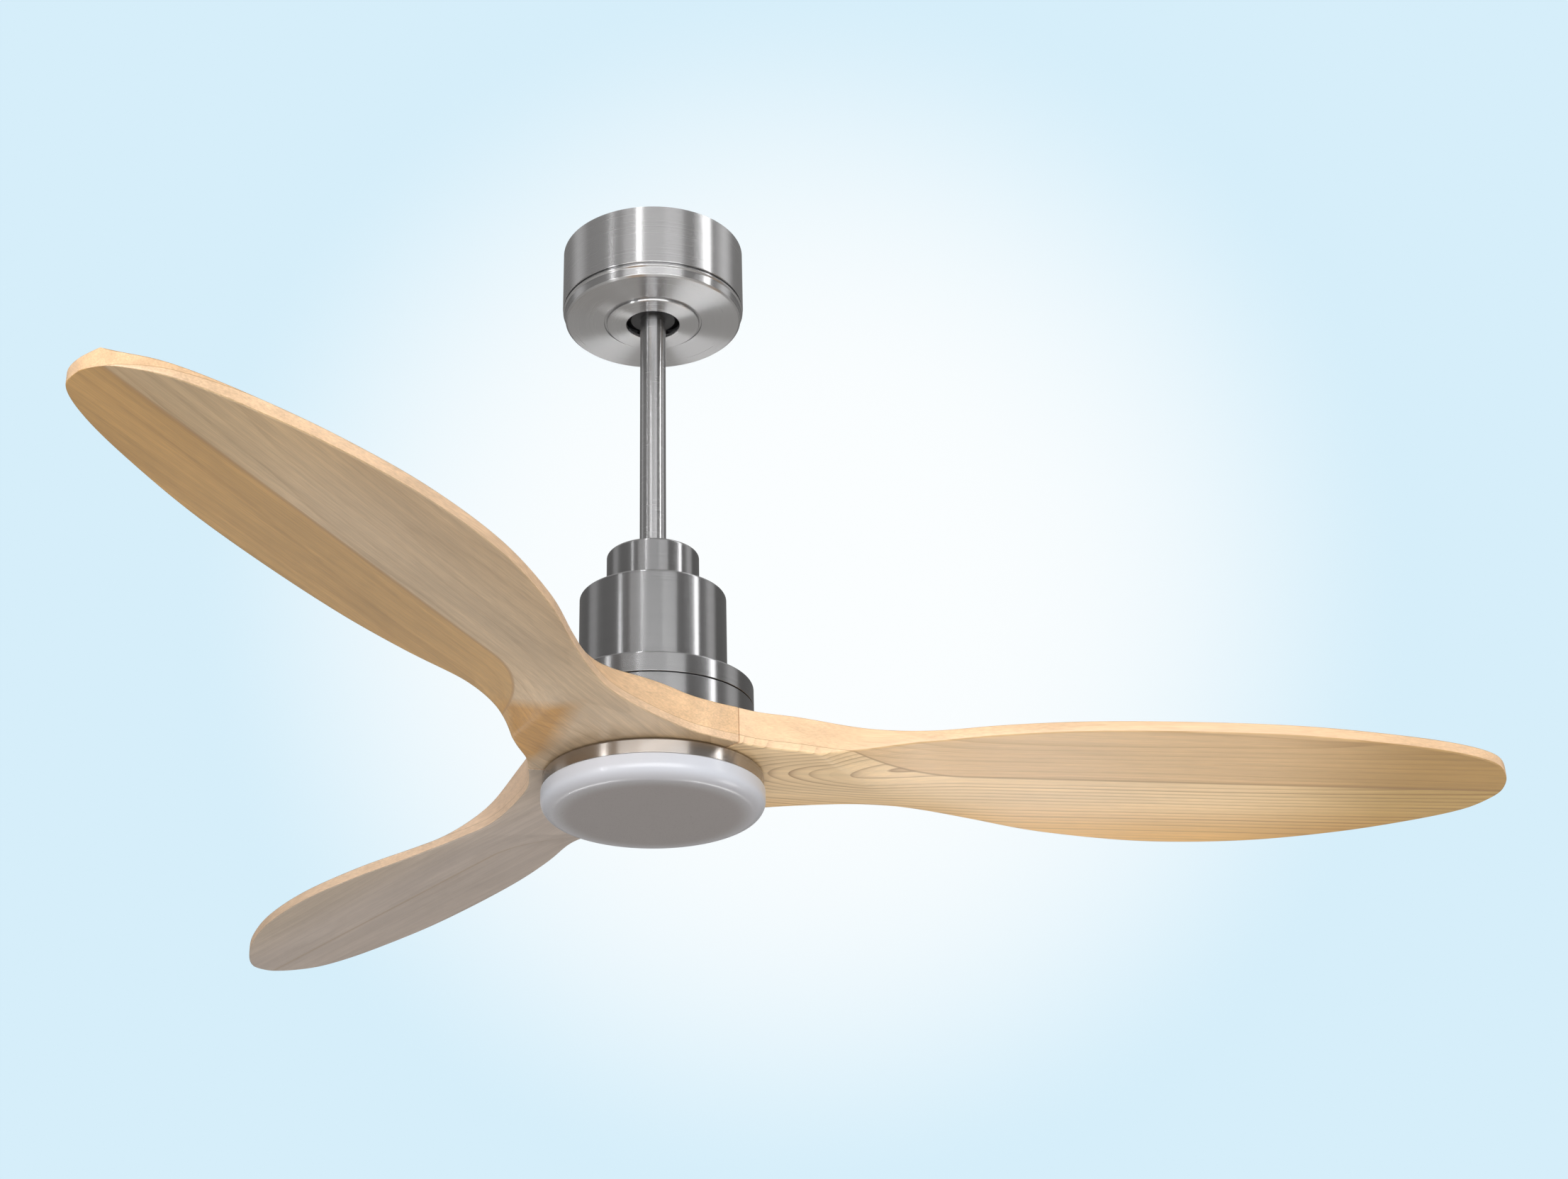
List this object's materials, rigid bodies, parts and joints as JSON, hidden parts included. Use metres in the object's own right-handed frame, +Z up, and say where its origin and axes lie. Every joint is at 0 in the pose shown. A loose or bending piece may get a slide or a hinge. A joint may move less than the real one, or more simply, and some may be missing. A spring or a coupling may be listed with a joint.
{
  "type": "ceiling fan with light",
  "caption": "Ceiling fan with carved wooden blades on a flat motor, a short downrod hung from a ball under a round canopy, and a round opal LED light.",
  "frame": {"origin": "on the fan's axis, at the ceiling face of the hanger bracket, midway between the two ceiling slots", "axes": "+Z up along the fan's axis, +X along the line of the two ceiling slots; everything hangs below the origin"},
  "size_m": [1.0425, 1.1514, 0.5003],
  "materials": {
    "brushed_nickel": "brushed",
    "brushed_rod": "brushed",
    "zinc_steel": "zinc plated",
    "black_steel": "oxide",
    "cast_iron": "painted",
    "hanger_ball": "satin",
    "turned_steel": "turned",
    "earth_brass": "plain",
    "receiver_case": "fine texture",
    "white_plastic": "moulded",
    "seat_nylon": "moulded",
    "lamination_steel": "stacked",
    "magnet_wire": "enamelled",
    "magnet": "nickel plated",
    "bearing_steel": "ground",
    "cage_brass": "stamped",
    "blade_wood": "clear satin lacquer",
    "gasket_rubber": "matt",
    "board_white": "white solder mask",
    "led_phosphor": "lens",
    "opal": "opal acrylic",
    "lead_sheath": "extruded"
  },
  "bodies": {
    "ceiling_mount": {"ceiling_bracket": "zinc_steel", "hanger_cradle": "zinc_steel", "receiver": "receiver_case", "terminal_block": "white_plastic", "earth_screw": "earth_brass", "canopy": "brushed_nickel", "canopy_screws": "zinc_steel", "canopy_cover": "brushed_nickel", "canopy_collar": "brushed_nickel"},
    "ball_liner": {"ball_seat": "seat_nylon"},
    "fan_body": {"hanger_ball": "hanger_ball", "ball_pin": "zinc_steel", "ball_set_screw": "black_steel", "downrod": "brushed_rod", "yoke": "cast_iron", "yoke_pin": "zinc_steel", "yoke_clip": "zinc_steel", "yoke_set_screws": "black_steel", "yoke_cover": "brushed_nickel", "drum_cover": "brushed_nickel", "drum_screws": "zinc_steel", "led_driver": "white_plastic", "hollow_shaft": "turned_steel", "stator_core": "lamination_steel", "stator_windings": "magnet_wire", "bearing_inner_rings": "bearing_steel", "light_mount": "zinc_steel", "shaft_nut": "zinc_steel", "light_pan": "brushed_nickel", "pan_screws": "zinc_steel", "led_board": "board_white", "led_chips": "led_phosphor", "board_screws": "zinc_steel", "main_lead": "lead_sheath", "lead_plugs": "white_plastic"},
    "rotor": {"bearing_outer_rings": "bearing_steel", "motor_shell_top": "brushed_nickel", "motor_shell_bottom": "brushed_nickel", "shell_screws": "zinc_steel", "rotor_ring": "lamination_steel", "rotor_magnets": "magnet", "blade_a": "blade_wood", "blade_b": "blade_wood", "blade_c": "blade_wood", "blade_gaskets": "gasket_rubber", "blade_washers": "zinc_steel", "blade_screws": "zinc_steel"},
    "cage_set": {"bearing_balls": "bearing_steel", "bearing_cages": "cage_brass"},
    "diffuser_bowl": {"diffuser": "opal"}
  },
  "joints": [
    {"name": "hanger_tilt_x", "type": "hinge", "parent": "ceiling_mount", "child": "ball_liner", "pos_m": [0, 0, -0.0433], "axis": [1, 0, 0], "range_deg": [-12, 12]},
    {"name": "hanger_tilt_y", "type": "hinge", "parent": "ball_liner", "child": "fan_body", "pos_m": [0, 0, -0.0433], "axis": [0, 1, 0], "range_deg": [-12, 12]},
    {"name": "fan_spin", "type": "hinge", "parent": "fan_body", "child": "rotor", "pos_m": [0, 0, -0.4183], "axis": [0, 0, 1], "continuous": true},
    {"name": "cage_spin", "type": "hinge", "parent": "fan_body", "child": "cage_set", "pos_m": [0, 0, -0.4183], "axis": [0, 0, 1], "continuous": true},
    {"name": "diffuser_twist", "type": "hinge", "parent": "fan_body", "child": "diffuser_bowl", "pos_m": [0, 0, -0.4803], "axis": [0, 0, 1], "range_deg": [-25, 0]}
  ],
  "couplings": [
    {"joint": "cage_spin", "follows": "fan_spin", "ratio": 0.615}
  ]
}
